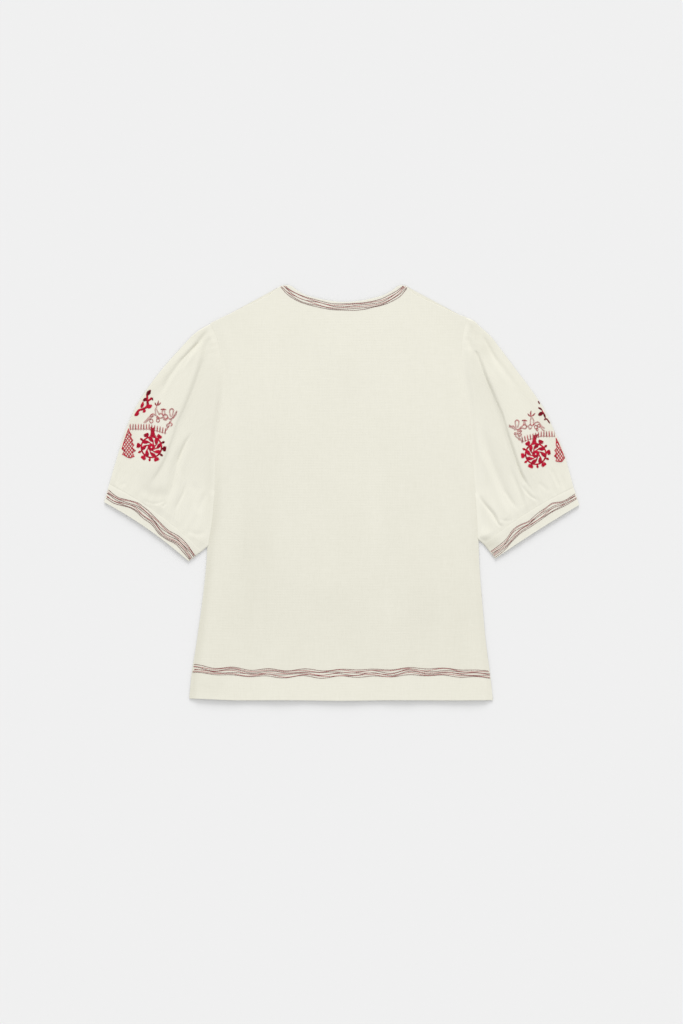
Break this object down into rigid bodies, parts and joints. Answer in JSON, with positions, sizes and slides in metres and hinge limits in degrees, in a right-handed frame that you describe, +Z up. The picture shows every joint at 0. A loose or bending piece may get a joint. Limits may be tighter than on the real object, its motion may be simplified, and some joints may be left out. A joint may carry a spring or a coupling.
{
  "type": "embroidered blouse",
  "caption": "Short-sleeved folk blouse of thin off-white cotton, with puffed embroidered sleeves gathered onto narrow cuffs and wavy running-stitch trims, laid flat with its back up",
  "frame": {"origin": "on the surface the blouse lies on, under the middle of its bounding box", "axes": "+X across the blouse from the sleeve at the picture's left to the one at its right, +Y from the hem towards the neck, +Z up off the surface"},
  "size_m": [0.7606, 0.6686, 0.0134],
  "materials": {
    "body_cotton": "soft plain-woven cotton with fine slubs",
    "sleeve_cotton": "the same cotton, embroidered in crimson thread",
    "cuff_cotton": "the same cotton with wavy rows of dark red running stitch"
  },
  "bodies": {
    "root": {"back": "body_cotton", "front": "body_cotton", "sleeve_left": "sleeve_cotton", "sleeve_right": "sleeve_cotton", "cuff_left": "cuff_cotton", "cuff_right": "cuff_cotton"}
  },
  "joints": []
}
